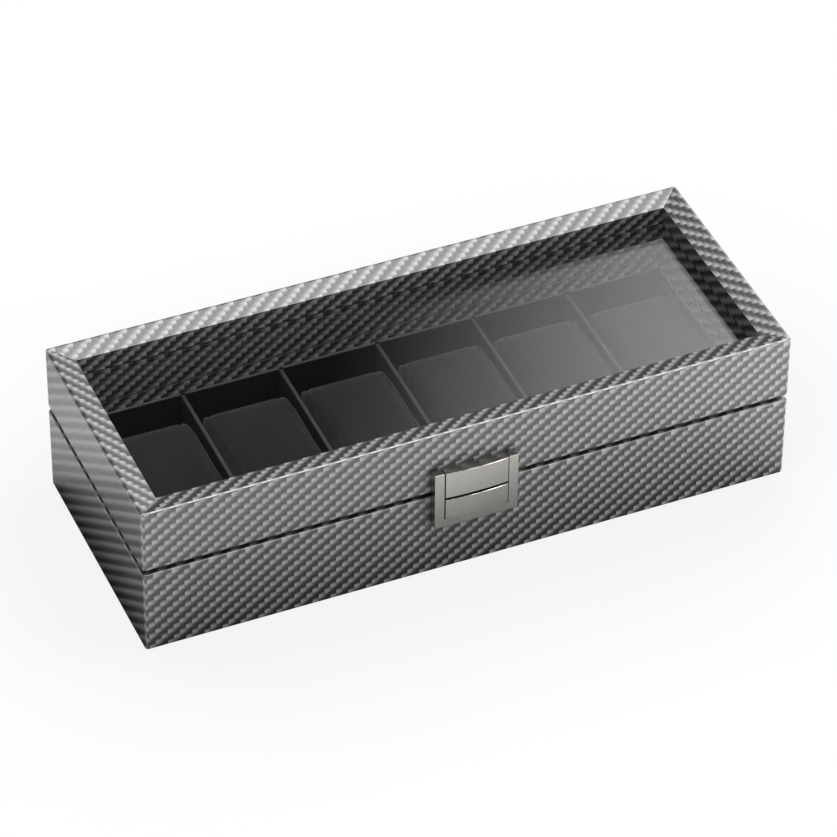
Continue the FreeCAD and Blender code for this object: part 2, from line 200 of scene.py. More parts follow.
class Shader:
    """Node tree of a material or of the world."""

    def __init__(self, owner: Union[bpy.types.Material, bpy.types.World]) -> None:
        """Empties the owner's tree."""
        owner.use_nodes = True
        self.tree = owner.node_tree
        self.tree.nodes.clear()

    def node(self, kind: str, settings: Optional[Dict] = None, sockets: Optional[Dict] = None) -> Outputs:
        """Adds any node.

        Args:
            kind: the node's type.
            settings: its properties, set first.
            sockets: values or signals of its inputs, by name, identifier or place.

        Returns:
            The node's outputs.
        """
        node = self.tree.nodes.new(kind)
        for name, value in (settings or {}).items():
            setattr(node, name, value)
        for key, value in (sockets or {}).items():
            if isinstance(key, int):
                target = node.inputs[key]
            else:
                target = [s for s in node.inputs if key in (s.identifier, s.name)][0]
            if isinstance(value, Signal):
                self.tree.links.new(value.socket, target)
            else:
                target.default_value = value
        return Outputs(self, node)

    def point(self) -> Outputs:
        """Place on the piece, in metres, by axis."""
        place = self.node("ShaderNodeTexCoord")["Object"]
        return self.node("ShaderNodeSeparateXYZ", None, {"Vector": place})

    def facing(self) -> Outputs:
        """Direction that the surface faces on the unposed piece, by axis."""
        normal = self.node("ShaderNodeTexCoord")["Normal"]
        return self.node("ShaderNodeSeparateXYZ", None, {"Vector": normal})

    def noise(self, scale: float, detail: float = 2.0, stretch: Triple = (1.0, 1.0, 1.0)) -> Signal:
        """Noise on the piece's own place.

        Args:
            scale: waves in a metre.
            detail: octaves.
            stretch: scale of each axis.

        Returns:
            Value from 0 to 1.
        """
        place = self.node("ShaderNodeTexCoord")["Object"]
        placed = self.node("ShaderNodeMapping", None, {"Vector": place, "Scale": stretch})["Vector"]
        sockets = {"Vector": placed, "Scale": scale, "Detail": detail}
        return self.node("ShaderNodeTexNoise", {"noise_dimensions": "3D"}, sockets)["Fac"]

    def mix(self, factor: Any, low: Any, high: Any) -> Signal:
        """Blend of two colours.

        Args:
            factor: 0 for the first, 1 for the second.
            low: first colour or signal.
            high: second colour or signal.

        Returns:
            The blended colour.
        """
        sockets = {"Factor_Float": factor}
        for name, colour in (("A_Color", low), ("B_Color", high)):
            sockets[name] = colour if isinstance(colour, Signal) else (*colour, 1.0)
        return self.node("ShaderNodeMix", {"data_type": "RGBA"}, sockets)["Result_Color"]

    def fade(self, value: Signal, reach: Tuple[float, float], ends: Tuple[float, float]) -> Signal:
        """Smooth step from one value to another.

        Args:
            value: the signal that drives the step.
            reach: its values where the step starts and ends.
            ends: the values before and after the step.

        Returns:
            The stepped value.
        """
        sockets = {
            "Value": value,
            "From Min": reach[0],
            "From Max": reach[1],
            "To Min": ends[0],
            "To Max": ends[1],
        }
        return self.node("ShaderNodeMapRange", {"interpolation_type": "SMOOTHSTEP"}, sockets)["Result"]

    def bump(self, height: Signal, distance: float) -> Signal:
        """Normal of a surface with a relief.

        Args:
            height: relief from 0 to 1.
            distance: depth of the relief in metres.

        Returns:
            The normal.
        """
        sockets = {"Height": height, "Distance": distance, "Strength": 1.0}
        return self.node("ShaderNodeBump", None, sockets)["Normal"]

    def surface(self, sockets: Dict[str, Any]) -> Signal:
        """Principled shader with the given sockets."""
        return self.node("ShaderNodeBsdfPrincipled", None, sockets)["BSDF"]

    def finish(self, shader: Signal, kind: str = "ShaderNodeOutputMaterial") -> None:
        """Links a shader to the output."""
        self.node(kind, None, {"Surface": shader})


def new_shader(name: str) -> Tuple[bpy.types.Material, Shader]:
    """Makes an empty material.

    Args:
        name: the material's name.

    Returns:
        The material and its tree.
    """
    material = bpy.data.materials.new(name)
    return material, Shader(material)


@dataclass(frozen=True)
class Leatherette:
    """Embossed leatherette with a carbon twill: short bright floats that climb to the right.

    On the inner walls the floats are painted lighter and the ground between them black, as painted light and
    shade. Where level faces are shaded, the top and the foot are painted dark as shade and have no coat.
    """

    column: float = 2.75 * MM
    row: float = 2.083 * MM
    repeat: float = 3.0
    spot_reach: float = 0.88
    spot_falloff: float = 1.2
    spot_rise: float = 8.0
    spot_loss: float = 0.45
    slant: float = 0.28
    tail: float = 0.38
    dark: Colour = (0.011, 0.011, 0.0115)
    light: Colour = (0.55, 0.55, 0.555)
    # Float colour on the inner walls, lighter as painted light.
    inner_painted_light: Colour = (0.66, 0.66, 0.665)
    ground: float = 0.09
    least_run: float = 0.25
    least_thread: float = 0.4
    thread_height: float = 0.6
    relief: float = 0.30 * MM
    pebble: float = 2600.0
    pebble_height: float = 0.05
    pebble_roughness: float = 0.12
    roughness: float = 0.42
    float_polish: float = 0.08
    coat: float = 1.0
    coat_ior: float = 2.0
    coat_roughness: float = 0.14
    # Paints the top and the foot of the strip dark as shade, and takes their coat away.
    shaded_level_faces: bool = False

    def float_at(self, offset: Signal) -> Signal:
        """Brightness of a float across its thread.

        Args:
            offset: rows from the float's middle line, which comes back after every repeat.

        Returns:
            One on the middle line, falling to zero at the float's edges.
        """
        near = (offset + self.repeat / 2) % self.repeat - self.repeat / 2
        return (1 - (near / self.spot_reach) ** 2).at_least(0.0) ** self.spot_falloff

    def weave(self, along: Signal, climb: Signal) -> Tuple[Signal, Signal, Signal]:
        """Draws the twill on a face.

        Args:
            along: place to the right along the strip.
            climb: place up the face.

        Returns:
            Brightness of the floats, height of the threads, and brightness of the threads between the floats.
        """
        across = along / self.column
        up = climb / self.row
        column_share = across - across.floor()
        row_share = up - up.floor()
        centre = across.floor() + column_share * self.slant + 0.5 - self.slant / 2
        rise = (column_share * self.spot_rise).at_most(1.0)
        spot = self.float_at(up - centre) * rise * (1 - column_share * self.spot_loss)
        tail = self.float_at(up - centre + 1 - self.slant) * (1 - column_share) * self.tail
        run = (across - up.floor()) % self.repeat
        run_share = ((run - 1) / (self.repeat - 1)).at_least(0.0)
        thread = run_share.arch().at_least(0.0) * row_share.arch()
        along_run = self.least_run + run_share * (1 - self.least_run)
        on_thread = self.least_thread + thread * (1 - self.least_thread)
        return spot.at_least(tail), thread, along_run * on_thread

    def material(self, side: Side) -> bpy.types.Material:
        """Makes the finish for the strips of one side.

        Args:
            side: the side whose strip carries the weave round its edges.

        Returns:
            The material.
        """
        kind = "shaded_top_leatherette" if self.shaded_level_faces else "leatherette"
        material, shader = new_shader(f"{kind}_{side.label}")
        place = shader.point()
        facing = shader.facing()
        along = place[side.along[0]] * side.along[1]
        inward = place[side.inward[0]] * side.inward[1]
        faces_in = facing[side.inward[0]] * side.inward[1]
        faces_up = facing["Z"]
        level = abs(faces_up) > abs(faces_in)
        # Painted shade: where level faces are shaded, the top and the foot show only the dark colour and
        # carry no coat.
        unshaded_and_coated = 1 - level * float(self.shaded_level_faces)
        inner = (1 - level) * (faces_in > 0.0)
        climb = level * inward * faces_up.sign() - (1 - level) * place["Z"] * faces_in.sign()
        lit, thread, between = self.weave(along, climb)
        pebble = shader.noise(self.pebble, detail=3.0)
        # Painted light and shade: on the inner walls the floats take the lighter inner colour and the ground
        # between them goes black.
        tone = lit.at_least(self.ground * (1 - inner) * between)
        light = shader.mix(inner, self.light, self.inner_painted_light)
        height = lit.at_least(thread * self.thread_height) + pebble * self.pebble_height
        shader.finish(
            shader.surface(
                {
                    "Base Color": shader.mix(tone * unshaded_and_coated, self.dark, light),
                    "Roughness": self.roughness + pebble * self.pebble_roughness - tone * self.float_polish,
                    "Coat Weight": unshaded_and_coated * self.coat,
                    "Coat IOR": self.coat_ior,
                    "Coat Roughness": self.coat_roughness,
                    "Normal": shader.bump(height, self.relief),
                }
            )
        )
        return material


@dataclass(frozen=True)
class Velvet:
    """Short-pile cloth over card or foam. A painted highlight lightens the cloth along a top edge."""

    name: str
    ground: Colour = (0.0015, 0.0015, 0.0016)
    tip: Colour = (0.005, 0.005, 0.0052)
    # Painted highlight along the top edge of the cloth: its colour, top height, reach and least strength.
    top_highlight: Colour = (0.10, 0.10, 0.102)
    top_highlight_height: float = 1.0
    top_highlight_reach: float = 0.6 * MM
    least_top_highlight: float = 0.5
    pile: float = 1500.0
    pile_share: float = 0.4
    pile_roughness: float = 0.12
    brushed: float = 60.0
    brushed_stretch: Triple = (1.0, 0.4, 1.0)
    relief: float = 0.05 * MM
    roughness: float = 0.86
    specular: float = 0.15
    sheen: float = 0.04
    sheen_roughness: float = 0.4

    def material(self) -> bpy.types.Material:
        """Makes the finish."""
        material, shader = new_shader(self.name)
        pile = shader.noise(self.pile, detail=2.0)
        strokes = shader.noise(self.brushed, detail=3.0, stretch=self.brushed_stretch)
        tone = pile * self.pile_share + strokes * (1 - self.pile_share)
        cloth = shader.mix(tone, self.ground, self.tip)
        # Painted highlight: the cloth lightens over the reach below its top edge.
        above = shader.point()["Z"] - (self.top_highlight_height - self.top_highlight_reach)
        top_highlighted = (above / self.top_highlight_reach).at_least(0.0).at_most(1.0) * (self.least_top_highlight + tone)
        shader.finish(
            shader.surface(
                {
                    "Base Color": shader.mix(top_highlighted, cloth, self.top_highlight),
                    "Roughness": self.roughness + pile * self.pile_roughness,
                    "Specular IOR Level": self.specular,
                    "Sheen Weight": self.sheen,
                    "Sheen Roughness": self.sheen_roughness,
                    "Normal": shader.bump(pile, self.relief),
                }
            )
        )
        return material


@dataclass(frozen=True)
class BrushedMetal:
    """Metal with a fine grain, satin to bright. Every side but the front can be rougher, and painted darker
    as shade.
    """

    name: str
    colour: Colour
    roughness: float
    grain: Grain = Grain.EVEN
    pitch: float = 900.0
    stroke_roughness: float = 0.10
    clouds: float = 70.0
    cloud_share: float = 0.6
    cloud_roughness: float = 0.05
    worn_shade: float = 0.82
    relief: float = 0.012 * MM
    front_edge: float = 0.95
    front_fade: float = 0.5
    # Share of the colour kept on the sides off the front, as painted shade, and roughness added there.
    painted_shade_off_front: float = 1.0
    off_front_roughness: float = 0.0

    def material(self) -> bpy.types.Material:
        """Makes the finish."""
        material, shader = new_shader(self.name)
        strokes = shader.noise(self.pitch, detail=3.0, stretch=self.grain.value)
        clouds = shader.noise(self.clouds, detail=3.0)
        worn = tuple(self.worn_shade * c for c in self.colour)
        brushed = shader.mix(clouds * self.cloud_share + strokes * (1 - self.cloud_share), worn, self.colour)
        uneven = (strokes - 0.5) * self.stroke_roughness + clouds * self.cloud_roughness
        # Painted shade: every side that does not face the front is darkened, and it is also rougher.
        turned = (shader.facing()["Y"] + self.front_edge) / self.front_fade
        off_front = turned.at_least(0.0).at_most(1.0)
        shader.finish(
            shader.surface(
                {
                    "Base Color": shader.mix(1 - off_front * (1 - self.painted_shade_off_front), BLACK, brushed),
                    "Metallic": 1.0,
                    "Roughness": self.roughness + uneven + off_front * self.off_front_roughness,
                    "Normal": shader.bump(strokes, self.relief),
                }
            )
        )
        return material


@dataclass(frozen=True)
class PaneGlass:
    """Clear sheet glass that lets lamps through."""

    tint: Colour = (0.97, 0.975, 0.97)
    ior: float = 1.5
    smear: float = 28.0
    smear_roughness: float = 0.02

    def material(self) -> bpy.types.Material:
        """Makes the finish."""
        material, shader = new_shader("window_glass")
        glass = shader.surface(
            {
                "Base Color": (*self.tint, 1.0),
                "Roughness": shader.noise(self.smear, detail=3.0) * self.smear_roughness,
                "IOR": self.ior,
                "Transmission Weight": 1.0,
            }
        )
        clear = shader.node("ShaderNodeBsdfTransparent", None, {"Color": (*self.tint, 1.0)})["BSDF"]
        path = shader.node("ShaderNodeLightPath")
        lit = path["Is Shadow Ray"].at_least(path["Is Diffuse Ray"])
        shader.finish(shader.node("ShaderNodeMixShader", None, {0: lit, 1: glass, 2: clear})["Shader"])
        return material


@dataclass(frozen=True)
class Fibres:
    """Pressed fibres: felt or board."""

    name: str
    dark: Colour
    pale: Colour
    fibre: float
    relief: float
    stretch: float = 0.35
    roughness: float = 0.92
    polish: float = 0.1
    specular: float = 0.2

    def material(self) -> bpy.types.Material:
        """Makes the finish."""
        material, shader = new_shader(self.name)
        lengthwise = shader.noise(self.fibre, detail=4.0, stretch=(1.0, self.stretch, 1.0))
        crossed = shader.noise(self.fibre, detail=4.0, stretch=(self.stretch, 1.0, 1.0))
        tone = (lengthwise + crossed) / 2
        shader.finish(
            shader.surface(
                {
                    "Base Color": shader.mix(tone, self.dark, self.pale),
                    "Roughness": self.roughness - tone * self.polish,
                    "Specular IOR Level": self.specular,
                    "Normal": shader.bump(tone, self.relief),
                }
            )
        )
        return material


class GeometryTree:
    """Geometry Nodes tree with named inputs, which is run on an object and leaves a plain mesh."""

    def __init__(self, name: str) -> None:
        """Makes the tree with a geometry going in and one coming out."""
        self.tree = bpy.data.node_groups.new(name, "GeometryNodeTree")
        self.identifiers: Dict[str, str] = {}
        self.tree.interface.new_socket("Geometry", in_out="INPUT", socket_type="NodeSocketGeometry")
        self.tree.interface.new_socket("Geometry", in_out="OUTPUT", socket_type="NodeSocketGeometry")
        self.start = self.tree.nodes.new("NodeGroupInput")

    def size(self, name: str, value: float) -> bpy.types.NodeSocket:
        """Adds a named size.

        Args:
            name: the input's name.
            value: the size.

        Returns:
            The socket that gives the size inside the tree.
        """
        item = self.tree.interface.new_socket(name, in_out="INPUT", socket_type="NodeSocketFloat")
        item.default_value = value
        self.identifiers[name] = item.identifier
        return self.start.outputs[name]

    def node(
        self, kind: str, settings: Optional[Dict] = None, sockets: Optional[Dict] = None
    ) -> bpy.types.Node:
        """Adds any node.

        Args:
            kind: the node's type.
            settings: its properties, set first.
            sockets: values of its inputs, or sockets to link, by name or place. A list links several.

        Returns:
            The node.
        """
        node = self.tree.nodes.new(kind)
        for name, value in (settings or {}).items():
            setattr(node, name, value)
        for key, value in (sockets or {}).items():
            target = node.inputs[key]
            for item in value if isinstance(value, list) else [value]:
                if isinstance(item, bpy.types.NodeSocket):
                    self.tree.links.new(item, target)
                else:
                    target.default_value = item
        return node

    def vector(self, x: Any, y: Any, z: Any) -> bpy.types.NodeSocket:
        """Vector from three values or sockets."""
        return self.node("ShaderNodeCombineXYZ", None, {0: x, 1: y, 2: z}).outputs[0]

    def math(self, operation: str, *values: Any) -> bpy.types.NodeSocket:
        """Result of one Math node."""
        return self.node("ShaderNodeMath", {"operation": operation}, dict(enumerate(values))).outputs[0]

    def raised(self, geometry: bpy.types.NodeSocket, height: Any) -> bpy.types.NodeSocket:
        """Geometry moved up by a value or a socket."""
        sockets = {"Geometry": geometry, "Translation": self.vector(0.0, 0.0, height)}
        return self.node("GeometryNodeTransform", None, sockets).outputs[0]

    def end(self, geometry: bpy.types.NodeSocket, material: bpy.types.Material) -> None:
        """Realizes the instances, gives them their material and closes the tree."""
        real = self.node("GeometryNodeRealizeInstances", None, {"Geometry": geometry}).outputs[0]
        sockets = {"Geometry": real, "Material": material}
        dressed = self.node("GeometryNodeSetMaterial", None, sockets).outputs[0]
        self.node("NodeGroupOutput", None, {0: dressed})

    def run(self, name: str, start: bpy.types.Mesh, values: Dict[str, float]) -> bpy.types.Object:
        """Runs the tree once and keeps what it makes.

        Args:
            name: name of the new piece.
            start: mesh that the tree works on.
            values: sizes by name.

        Returns:
            The piece, as a plain mesh.
        """
        piece = add_object(name, start)
        modifier = piece.modifiers.new("make", "NODES")
        modifier.node_group = self.tree
        for key, value in values.items():
            modifier[self.identifiers[key]] = value
        apply_modifiers(piece)
        piece.data.name = name
        return piece


def add_object(name: str, mesh: bpy.types.Mesh) -> bpy.types.Object:
    """Puts a mesh in the scene.

    Args:
        name: the object's name.
        mesh: its mesh.

    Returns:
        The object.
    """
    piece = bpy.data.objects.new(name, mesh)
    bpy.context.scene.collection.objects.link(piece)
    return piece


def apply_modifiers(piece: bpy.types.Object) -> None:
    """Keeps what a piece's modifiers make and removes them.

    Args:
        piece: the piece, which has a plain mesh afterwards.
    """
    depsgraph = bpy.context.evaluated_depsgraph_get()
    mesh = bpy.data.meshes.new_from_object(piece.evaluated_get(depsgraph))
    piece.modifiers.clear()
    piece.data = mesh


def merged_copy(node: str) -> bmesh.types.BMesh:
    """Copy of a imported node's mesh with its loose triangles joined.

    Args:
        node: the node's name.

    Returns:
        The joined mesh, which the caller frees.
    """
    mesh = bmesh.new()
    mesh.from_mesh(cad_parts[node].data)
    bmesh.ops.remove_doubles(mesh, verts=mesh.verts, dist=SAME_PLACE)
    return mesh


def kept_mesh(name: str, work: bmesh.types.BMesh) -> bpy.types.Mesh:
    """Keeps a worked copy as a plain mesh and frees it.

    Args:
        name: the mesh's name.
        work: the worked copy.

    Returns:
        The plain mesh.
    """
    mesh = bpy.data.meshes.new(name)
    work.to_mesh(mesh)
    work.free()
    return mesh


def islands(node: str) -> List[Tuple[Vector, Vector]]:
    """Boxes of the separate solids in one node.

    Args:
        node: the node's name.

    Returns:
        Lowest and highest corner of each solid, from left to right.
    """
    mesh = merged_copy(node)
    left = set(mesh.verts)
    boxes = []
    while left:
        found = {left.pop()}
        edge = list(found)
        while edge:
            vertex = edge.pop()
            near = {e.other_vert(vertex) for e in vertex.link_edges} - found
            found |= near
            edge.extend(near)
        left -= found
        corners = [[f(v.co[i] for v in found) for i in range(3)] for f in (min, max)]
        boxes.append((Vector(corners[0]), Vector(corners[1])))
    mesh.free()
    return sorted(boxes, key=lambda box: box[0].x)


def dress(material: bpy.types.Material, *nodes: str) -> None:
    """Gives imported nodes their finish.

    Args:
        material: the finish.
        nodes: the nodes' names.
    """
    for node in nodes:
        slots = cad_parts[node].material_slots
        for slot in slots:
            slot.material = material
        log.info("%s wears %s", node, material.name)


@dataclass
class Finishes:
    """Every material of the box, made once."""

    leatherette: Dict[Side, bpy.types.Material] = field(default_factory=dict)
    collar: Dict[Side, bpy.types.Material] = field(default_factory=dict)
    made: Dict[str, bpy.types.Material] = field(default_factory=dict)

    def prepare(self) -> None:
        """Makes the materials."""
        for side in Side:
            self.leatherette[side] = Leatherette().material(side)
            # The collar's top and foot are painted dark as shade.
            self.collar[side] = Leatherette(shaded_level_faces=True).material(side)
        lining_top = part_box("tray_lining_front")[1].z
        divider_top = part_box("divider_1")[1].z
        finishes = {
            # The lining and the dividers get a painted highlight along their top edges.
            "lining": Velvet("lining_velvet", top_highlight_height=lining_top),
            "divider": Velvet("divider_velvet", top_highlight=(0.055, 0.055, 0.056), top_highlight_height=divider_top),
            "cushion": Velvet(
                "cushion_velvet", ground=(0.003, 0.003, 0.0032), tip=(0.024, 0.024, 0.0252), sheen=0.26
            ),
            "felt": Fibres(
                "base_felt",
                dark=(0.008, 0.008, 0.009),
                pale=(0.035, 0.035, 0.037),
                fibre=900.0,
                relief=0.25 * MM,
            ),
            "board": Fibres(
                "fibreboard",
                dark=(0.20, 0.13, 0.075),
                pale=(0.36, 0.26, 0.16),
                fibre=700.0,
                relief=0.05 * MM,
            ),
            "glass": PaneGlass(),
            "nickel": BrushedMetal(
                "satin_nickel",
                colour=(0.75, 0.73, 0.683),
                roughness=0.15,
                grain=Grain.ALONG_X,
                # The latch's sides off the front are painted darker as shade.
                painted_shade_off_front=0.40,
                off_front_roughness=0.08,
            ),
            "hinge": BrushedMetal(
                "hinge_steel", colour=(0.55, 0.55, 0.55), roughness=0.28, grain=Grain.ALONG_X
            ),
            "screw": BrushedMetal("screw_steel", colour=(0.60, 0.60, 0.59), roughness=0.26),
            "spring": BrushedMetal(
                "spring_steel", colour=(0.42, 0.43, 0.46), roughness=0.25, grain=Grain.ALONG_X
            ),
        }
        for name, finish in finishes.items():
            self.made[name] = finish.material()


@dataclass
class Shell:
    """The wrapped boards of the base and the lid, with the collar, the tray and the window."""

    finishes: Finishes
    wrapped: Tuple[str, ...] = ("base_wrap", "lid_wrap", "lid_lining")
    boards: Tuple[str, ...] = ("base_board", "lid_rail")
    collar: str = "collar"
    tray: str = "tray_lining"
    divider: str = "divider_"

    def dress(self) -> None:
        """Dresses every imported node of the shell."""
        made = self.finishes.made
        for side, weave in self.finishes.leatherette.items():
            dress(weave, *(f"{name}_{side.label}" for name in self.wrapped))
            dress(self.finishes.collar[side], f"{self.collar}_{side.label}")
            dress(made["board"], *(f"{name}_{side.label}" for name in self.boards))
            dress(made["lining"], f"{self.tray}_{side.label}")
        dividers = [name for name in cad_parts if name.startswith(self.divider)]
        dress(made["lining"], "tray_floor")
        dress(made["divider"], *dividers)
        dress(made["board"], "bottom_panel")
        dress(made["felt"], "bottom_felt")
        dress(made["glass"], "lid_glass")


@dataclass
class Latch:
    """Push latch: housing, button, strike, the leaf spring that it presses and the screws that hold it."""

    finishes: Finishes
    spring: str = "latch_spring"
    pressed_bow: float = 0.33
    crease: float = math.radians(30.0)

    def dress(self) -> None:
        """Dresses the latch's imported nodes."""
        made = self.finishes.made
        dress(made["nickel"], "latch_housing", "latch_button", "latch_strike")
        dress(made["screw"], "latch_screws", "strike_screws")

    def build(self) -> None:
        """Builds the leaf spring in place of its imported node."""
        leaf = kept_mesh(f"{self.spring}_leaf", merged_copy(self.spring))
        leaf.materials.clear()
        leaf.materials.append(self.finishes.made["spring"])
        leaf.shade_smooth()
        leaf.set_sharp_from_angle(angle=self.crease)
        piece = add_object(leaf.name, leaf)
        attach(piece, "base")
        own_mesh(piece)
        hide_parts(self.spring)
        log.info("%s: %d faces", piece.name, len(piece.data.polygons))


@dataclass
class Hinges:
    """Two butt hinges and their countersunk screws with crossed slots."""

    finishes: Finishes
    head_radius: float = 1.2 * MM
    shank_radius: float = 0.6 * MM
    head_depth: float = 1.1 * MM
    screw_length: float = 5.9 * MM
    slot_width: float = 0.34 * MM
    slot_share: float = 1.3
    screw_sides: int = 24
    turn_seed: int = 4

    def dress(self) -> None:
        """Dresses the leaves and the pins."""
        for side in ("left", "right"):
            names = [f"hinge_{side}_{part}" for part in ("base_leaf", "lid_leaf", "pin")]
            dress(self.finishes.made["hinge"], *names)

    def screw(self, tree: GeometryTree) -> bpy.types.NodeSocket:
        """Makes one crossed countersunk screw that points down, with its head's face at the origin.

        Args:
            tree: the tree that it is made in.

        Returns:
            The socket that gives the screw.
        """
        head = tree.size("Head Radius", self.head_radius)
        shank = tree.size("Shank Radius", self.shank_radius)
        depth = tree.size("Head Depth", self.head_depth)
        length = tree.size("Length", self.screw_length)
        slot = tree.size("Slot Width", self.slot_width)
        slot_length = tree.math("MULTIPLY", head, self.slot_share)
        sizes = {"Vertices": self.screw_sides, "Radius Top": head, "Radius Bottom": shank, "Depth": depth}
        cone = tree.node("GeometryNodeMeshCone", None, sizes).outputs["Mesh"]
        cutters = []
        for size in ((slot, slot_length, depth), (slot_length, slot, depth)):
            cube = tree.node("GeometryNodeMeshCube", None, {"Size": tree.vector(*size)}).outputs["Mesh"]
            cutters.append(tree.raised(cube, depth))
        settings = {"operation": "DIFFERENCE", "solver": "EXACT"}
        cut = tree.node("GeometryNodeMeshBoolean", settings, {"Mesh 1": cone, "Mesh 2": cutters})
        sizes = {"Vertices": self.screw_sides, "Radius": shank, "Depth": length}
        bar = tree.node("GeometryNodeMeshCylinder", None, sizes).outputs["Mesh"]
        bar = tree.raised(bar, tree.math("MULTIPLY", length, -0.5))
        parts = {"Geometry": [cut.outputs["Mesh"], bar]}
        joined = tree.node("GeometryNodeJoinGeometry", None, parts).outputs[0]
        return tree.raised(joined, tree.math("MULTIPLY", depth, -1.0))

    def screw_tree(self) -> GeometryTree:
        """Makes the tree that sets a screw on every point, each with its cross turned by chance.

        Returns:
            The tree.
        """
        tree = GeometryTree("countersunk_screws")
        screw = self.screw(tree)
        turn = tree.size("Turn", 0.0)
        spin = tree.node("FunctionNodeRandomValue", {"data_type": "FLOAT"}, {"Seed": self.turn_seed})
        limits = {"Min": 0.0, "Max": math.pi}
        for item in spin.inputs:
            if item.type == "VALUE" and item.name in limits:
                item.default_value = limits[item.name]
        spun = [s for s in spin.outputs if s.type == "VALUE"][0]
        rotation = tree.vector(turn, 0.0, spun)
        points = {"Points": tree.start.outputs["Geometry"], "Instance": screw, "Rotation": rotation}
        placed = tree.node("GeometryNodeInstanceOnPoints", None, points).outputs[0]
        tree.end(placed, self.finishes.made["screw"])
        return tree

    def build(self) -> None:
        """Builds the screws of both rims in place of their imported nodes."""
        tree = self.screw_tree()
        for node, body, upwards in (("base_hinge_screws", "base", True), ("lid_hinge_screws", "lid", False)):
            points = bpy.data.meshes.new(f"{node}_points")
            places = []
            for low, high in islands(node):
                middle = (low + high) / 2
                middle.z = high.z if upwards else low.z
                places.append(middle)
            points.from_pydata(places, [], [])
            turn = 0.0 if upwards else math.pi
            piece = tree.run(f"{node}_crossed", points, {"Turn": turn})
            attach(piece, body)
            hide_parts(node)
            log.info("%s: %d faces", piece.name, len(piece.data.polygons))


@dataclass
class Cushions:
    """Six loose velvet cushions, blown up as cloth between their seams."""

    finishes: Finishes
    count: int = 6
    start_scale: Triple = (0.93, 0.95, 0.94)
    voxel: float = 2.2 * MM
    seam_inset: float = 4.5 * MM
    seam_reach: float = 1.6 * MM
    seam_depth: float = 0.9 * MM
    seam_hold: float = 0.8
    held_group: str = "held"
    pressure: float = 4.0
    cloth_mass: float = 0.1
    cloth_quality: int = 5
    frames: int = 20
    most_swell: float = 2.6 * MM
    fill: float = 0.75

    def shrunk(self, node: str) -> bpy.types.Object:
        """Copies a packed cushion, slightly smaller, as an even mesh.

        Args:
            node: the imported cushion.

        Returns:
            The start of the padded cushion.
        """
        low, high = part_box(node)
        foot = Vector(((low.x + high.x) / 2, (low.y + high.y) / 2, low.z))
        mesh = merged_copy(node)
        scale = Matrix.Diagonal((*self.start_scale, 1.0))
        mesh.transform(Matrix.Translation(foot) @ scale @ Matrix.Translation(-foot))
        piece = add_object(f"{node}_pad", kept_mesh(f"{node}_pad", mesh))
        remesh = piece.modifiers.new("even", "REMESH")
        remesh.mode = "VOXEL"
        remesh.voxel_size = self.voxel
        apply_modifiers(piece)
        return piece

    def from_seam(self, place: Vector, low: Vector, high: Vector) -> float:
        """Distance of a place from the nearer of the two seams.

        Args:
            place: the place.
            low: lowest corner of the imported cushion.
            high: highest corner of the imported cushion.

        Returns:
            The distance.
        """
        return min(abs(place.x - low.x - self.seam_inset), abs(place.x - high.x + self.seam_inset))

    def held(self, piece: bpy.types.Object, low: Vector, high: Vector) -> None:
        """Marks the vertices that cannot swell: the foot and the two sewn seams.

        Args:
            piece: the cushion.
            low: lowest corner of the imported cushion.
            high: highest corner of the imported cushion.
        """
        group = piece.vertex_groups.new(name=self.held_group)
        for vertex in piece.data.vertices:
            seam = self.from_seam(vertex.co, low, high)
            weight = max(0.0, 1.0 - seam / self.seam_reach) * self.seam_hold
            if vertex.co.z - low.z < self.voxel / 2:
                weight = 1.0
            group.add([vertex.index], weight, "REPLACE")

    def inflate(self, piece: bpy.types.Object) -> None:
        """Blows the cushion up as cloth and keeps a limited swelling.

        Args:
            piece: the cushion, with its held vertices marked.
        """
        start = [vertex.co.copy() for vertex in piece.data.vertices]
        cloth = piece.modifiers.new("filling", "CLOTH")
        cloth.settings.quality = self.cloth_quality
        cloth.settings.mass = self.cloth_mass
        cloth.settings.use_pressure = True
        cloth.settings.uniform_pressure_force = self.pressure
        cloth.settings.effector_weights.gravity = 0.0
        cloth.settings.vertex_group_mass = self.held_group
        cloth.collision_settings.use_collision = False
        scene = bpy.context.scene
        for number in range(1, self.frames + 1):
            scene.frame_set(number)
        apply_modifiers(piece)
        scene.frame_set(1)
        for vertex, origin in zip(piece.data.vertices, start):
            swell = vertex.co - origin
            if swell.length > 0.0:
                kept = self.most_swell * math.tanh(swell.length / self.most_swell)
                vertex.co = origin + swell * (kept / swell.length)

    def sew(self, piece: bpy.types.Object, low: Vector, high: Vector) -> None:
        """Smooths the cushion and draws in its two seams.

        Args:
            piece: the cushion.
            low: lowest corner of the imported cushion.
            high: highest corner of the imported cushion.
        """
        smooth = piece.modifiers.new("even", "SUBSURF")
        smooth.levels = 1
        smooth.render_levels = 1
        apply_modifiers(piece)
        middle = (low + high) / 2
        for vertex in piece.data.vertices:
            place = vertex.co
            seam = self.from_seam(place, low, high)
            pull = self.seam_depth * math.exp(-((seam / (self.seam_reach / 2)) ** 2))
            inward = Vector((0.0, middle.y - place.y, middle.z - place.z)).normalized()
            if place.z - low.z > self.voxel:
                vertex.co = place + inward * pull
        piece.data.shade_smooth()

    def build(self) -> None:
        """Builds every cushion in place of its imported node."""
        for number in range(1, self.count + 1):
            node = f"cushion_{number}"
            low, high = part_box(node)
            piece = self.shrunk(node)
            self.held(piece, low, high)
            self.inflate(piece)
            piece.vertex_groups.clear()
            self.sew(piece, low, high)
            piece.data.materials.clear()
            piece.data.materials.append(self.finishes.made["cushion"])
            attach(piece, node)
            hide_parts(node)
            log.info("%s: %d faces", piece.name, len(piece.data.polygons))


